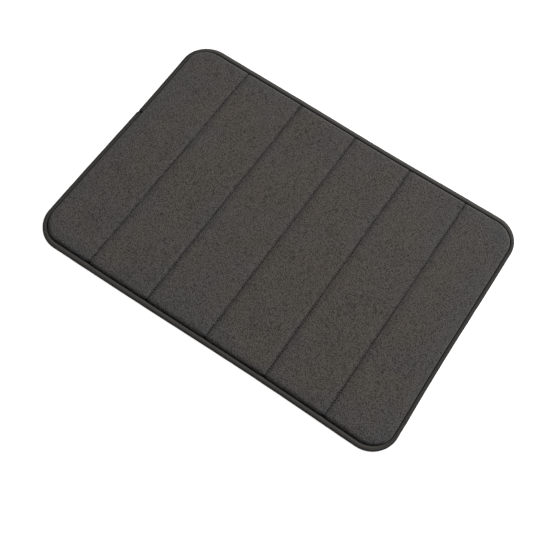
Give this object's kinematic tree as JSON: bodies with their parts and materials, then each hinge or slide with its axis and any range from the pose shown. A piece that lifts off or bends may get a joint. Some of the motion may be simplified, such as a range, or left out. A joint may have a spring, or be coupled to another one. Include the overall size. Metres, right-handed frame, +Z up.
{
  "type": "bath mat",
  "caption": "Flat rectangular quilted foam bath mat with rounded corners, straight cross seams, a folded binding and a dotted non-slip underside.",
  "frame": {"origin": "on the floor, under the middle of the mat", "axes": "+X along the mat's length, towards the short side that has no binding joint; +Y across its width; +Z up, out of the pile face"},
  "size_m": [0.61, 0.432, 0.013],
  "materials": {
    "pile_cover": "matte",
    "binding_tape": "matte",
    "thread": "satin",
    "foam": "matte",
    "backing": "matte",
    "grip_film": "satin"
  },
  "bodies": {
    "root": {"grip_sheet": "grip_film", "backing_fabric": "backing", "foam_core": "foam", "top_cover": "pile_cover", "edge_binding": "binding_tape", "binding_needle_thread": "thread", "binding_bobbin_thread": "thread", "quilt_needle_thread_1": "thread", "quilt_bobbin_thread_1": "thread", "quilt_needle_thread_2": "thread", "quilt_bobbin_thread_2": "thread", "quilt_needle_thread_3": "thread", "quilt_bobbin_thread_3": "thread", "quilt_needle_thread_4": "thread", "quilt_bobbin_thread_4": "thread", "quilt_needle_thread_5": "thread", "quilt_bobbin_thread_5": "thread"}
  },
  "joints": []
}
